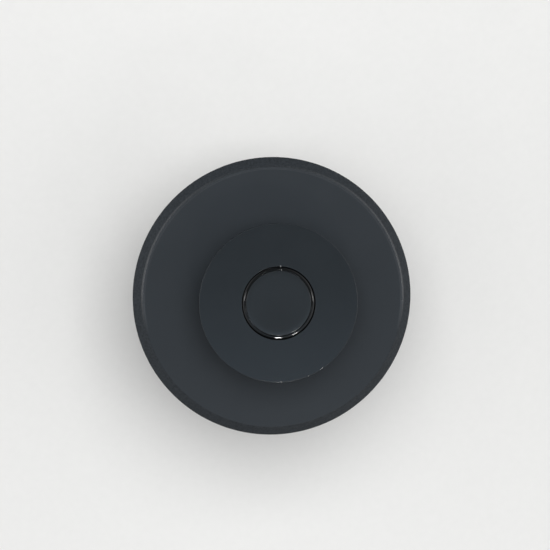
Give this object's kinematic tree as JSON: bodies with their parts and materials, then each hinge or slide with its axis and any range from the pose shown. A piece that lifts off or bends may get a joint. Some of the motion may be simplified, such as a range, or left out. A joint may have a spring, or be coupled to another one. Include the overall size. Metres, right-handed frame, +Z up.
{
  "type": "pop-up usb charger",
  "caption": "Round pop-up USB charger for a desk hole: sprung turret with a centre button, USB sockets in its side, flange above and ring nut below.",
  "frame": {"origin": "on the axis, at the desk's top face, where the flange's gasket rests and the collar enters the hole", "axes": "+Z up along the turret's travel; +Y towards the first type A socket"},
  "size_m": [0.072, 0.072, 0.0618],
  "materials": {
    "flange_plastic": "fine satin",
    "cap_plastic": "semi-gloss",
    "button_plastic": "semi-gloss",
    "trim_plastic": "piano black",
    "drum_plastic": "fine texture",
    "sleeve_plastic": "moulded",
    "gasket_rubber": "matt",
    "zinc_steel": "zinc plated",
    "bright_steel": "ground",
    "screw_steel": "zinc plated",
    "spring_steel": "drawn wire",
    "bush_brass": "turned",
    "board_laminate": "solder mask",
    "shell_steel": "nickel plated",
    "insulator_plastic": "moulded",
    "contact_gold": "gold flash",
    "inlet_plastic": "moulded",
    "can_aluminium": "sleeved can",
    "coil_ferrite": "ferrite",
    "chip_plastic": "moulded",
    "connector_plastic": "moulded",
    "ribbon_plastic": "flat cable",
    "latch_acetal": "acetal"
  },
  "bodies": {
    "base": {"bezel_flange": "flange_plastic", "flange_gasket": "gasket_rubber", "bezel_screws": "screw_steel", "mounting_sleeve": "sleeve_plastic", "base_cover": "sleeve_plastic", "base_screws": "screw_steel", "guide_pillars": "bright_steel", "lift_springs": "spring_steel", "base_board": "board_laminate", "board_screws": "screw_steel", "input_capacitors": "can_aluminium", "converter_inductor": "coil_ferrite", "converter_chip": "chip_plastic", "base_connector": "connector_plastic", "dc_inlet_body": "inlet_plastic", "dc_inlet_pin": "contact_gold", "latch_housing": "latch_acetal", "latch_screws": "screw_steel", "latch_jaw_pins": "bright_steel", "jaw_springs": "spring_steel", "power_ribbon": "ribbon_plastic"},
    "turret": {"turret_cap": "cap_plastic", "button_trim": "trim_plastic", "turret_drum": "drum_plastic", "carrier_plate": "zinc_steel", "pillar_bushes": "bush_brass", "turret_screws": "screw_steel", "usb_board": "board_laminate", "usb_a_1_shell": "shell_steel", "usb_a_1_insulator": "insulator_plastic", "usb_a_1_contacts": "contact_gold", "usb_a_2_shell": "shell_steel", "usb_a_2_insulator": "insulator_plastic", "usb_a_2_contacts": "contact_gold", "usb_c_shell": "shell_steel", "usb_c_tongue": "insulator_plastic", "usb_c_contacts": "contact_gold", "filter_capacitors": "can_aluminium", "choke_coil": "coil_ferrite", "power_chips": "chip_plastic", "board_connector": "connector_plastic", "latch_tongue": "latch_acetal", "button_spring": "spring_steel"},
    "button": {"centre_button": "button_plastic", "button_clip": "zinc_steel"},
    "jaw_left": {"latch_jaw_left": "latch_acetal"},
    "jaw_right": {"latch_jaw_right": "latch_acetal"},
    "washer": {"nut_washer": "zinc_steel"},
    "nut": {"clamp_nut": "sleeve_plastic"}
  },
  "joints": [
    {"name": "turret_lift", "type": "slide", "parent": "base", "child": "turret", "axis": [0, 0, 1], "range_m": [-0.0108, 0], "stiffness_N_per_m": 150, "springref_m": 0.01, "deforming": ["lift_springs", "power_ribbon"]},
    {"name": "button_press", "type": "slide", "parent": "turret", "child": "button", "axis": [0, 0, -1], "range_m": [0, 0.0014], "stiffness_N_per_m": 300, "springref_m": -0.001, "deforming": ["button_spring"]},
    {"name": "jaw_right_swing", "type": "hinge", "parent": "base", "child": "jaw_right", "pos_m": [0, 0.005, -0.0336], "axis": [1, 0, 0], "range_deg": [0, 8], "stiffness_Nm_per_rad": 0.02, "springref_deg": -5.73},
    {"name": "jaw_left_swing", "type": "hinge", "parent": "base", "child": "jaw_left", "pos_m": [0, -0.005, -0.0336], "axis": [-1, 0, 0], "range_deg": [0, 8], "stiffness_Nm_per_rad": 0.02, "springref_deg": -5.73},
    {"name": "nut_travel", "type": "slide", "parent": "base", "child": "washer", "axis": [0, 0, 1], "range_m": [-0.037, 0.002]},
    {"name": "nut_turn", "type": "hinge", "parent": "washer", "child": "nut", "pos_m": [0, 0, -0.017], "axis": [0, 0, 1], "range_deg": [-4440, 240]}
  ],
  "couplings": [
    {"joint": "jaw_left_swing", "follows": "jaw_right_swing", "ratio": 1},
    {"joint": "nut_travel", "follows": "nut_turn", "m_per_rad": 0.00047746}
  ]
}
